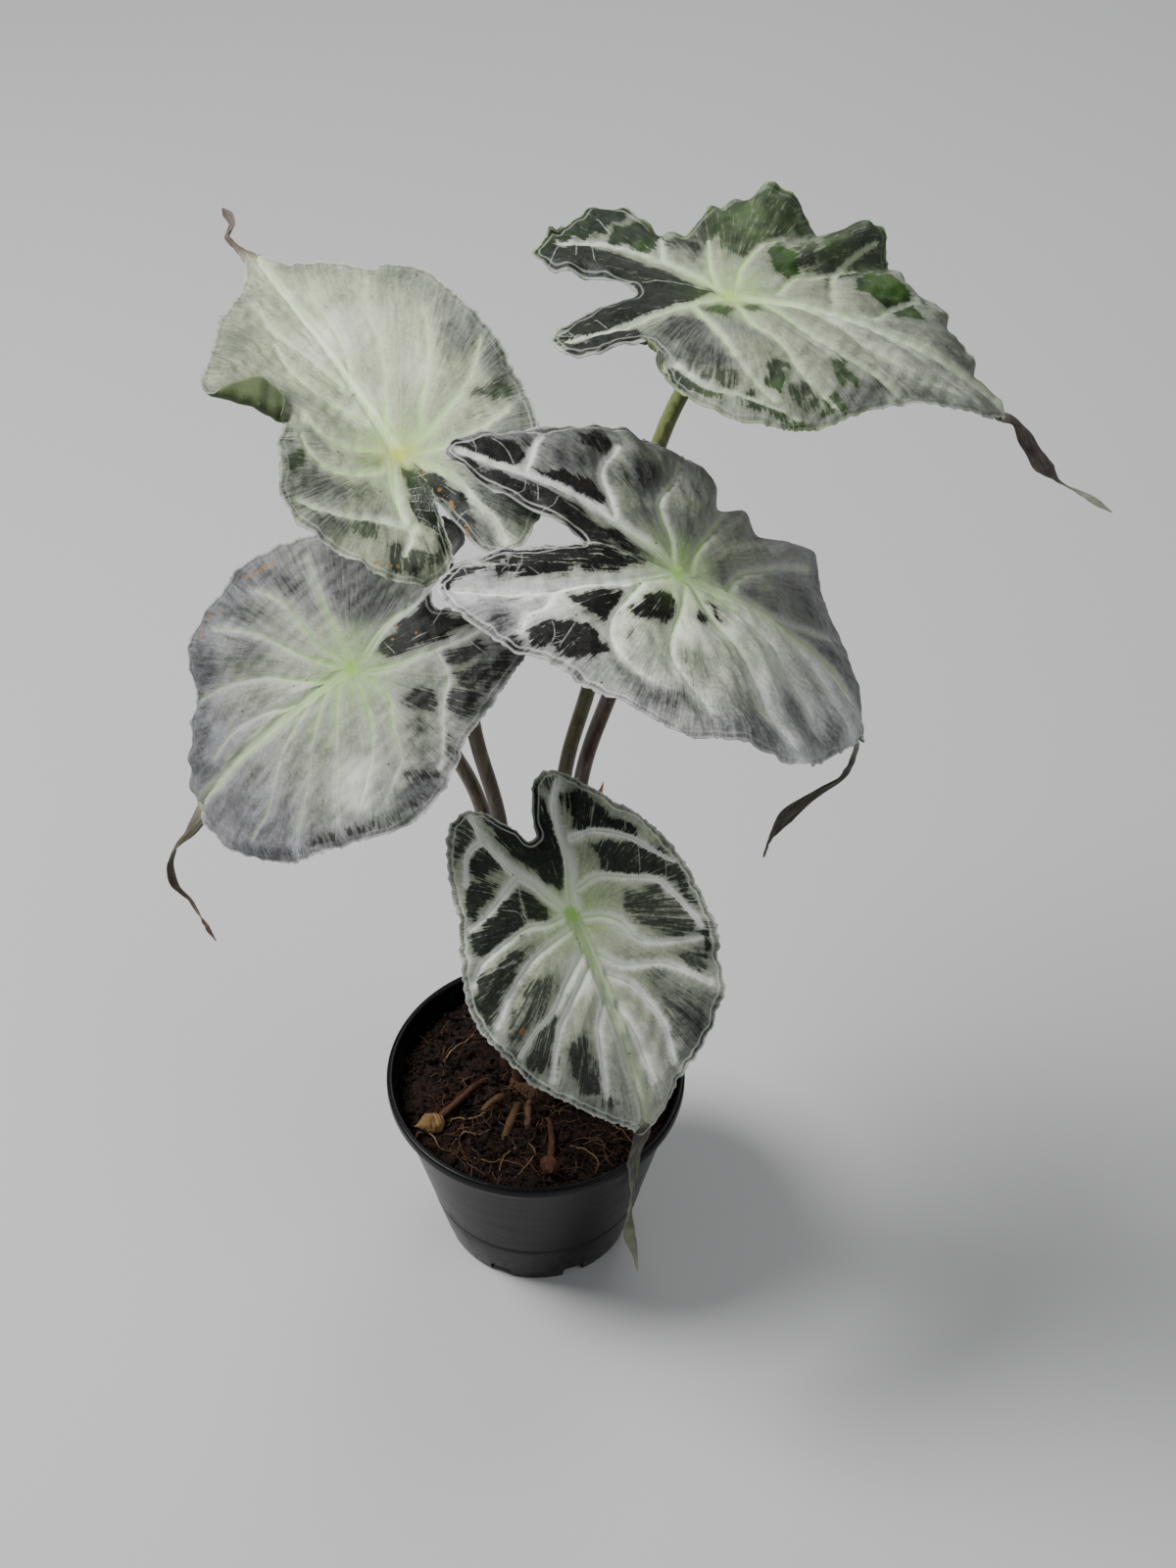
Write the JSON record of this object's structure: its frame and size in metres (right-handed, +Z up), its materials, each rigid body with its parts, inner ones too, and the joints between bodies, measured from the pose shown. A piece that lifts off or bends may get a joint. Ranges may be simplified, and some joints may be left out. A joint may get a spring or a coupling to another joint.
{
  "type": "potted alocasia plant",
  "caption": "Potted aroid house plant with silver shield-shaped leaves and twisted drip tips on long upright stalks, in a tapered nursery pot with a rolled rim.",
  "frame": {"origin": "centre of the flat underside of the pot", "axes": "+Z up along the pot's axis, -Y towards the front where the lowest leaf hangs over the rim, +X to the right"},
  "size_m": [0.3412, 0.2458, 0.4352],
  "materials": {
    "leaf_silver": "satin leaf skin",
    "leaf_stalk": "satin stalk skin",
    "offset_corm": "matt brown skin",
    "corm_and_roots": "matt brown skin",
    "potting_mix": "crumbly matt fibre",
    "pot_plastic": "satin moulded plastic"
  },
  "bodies": {
    "root": {"blade_upper_left": "leaf_silver", "blade_left": "leaf_silver", "blade_centre": "leaf_silver", "blade_upper_right": "leaf_silver", "blade_front": "leaf_silver", "stalk_upper_left": "leaf_stalk", "stalk_left": "leaf_stalk", "stalk_centre": "leaf_stalk", "stalk_upper_right": "leaf_stalk", "stalk_front": "leaf_stalk", "left_offset": "offset_corm", "front_offset": "offset_corm", "corm": "corm_and_roots", "soil": "potting_mix", "pot": "pot_plastic"}
  },
  "joints": []
}
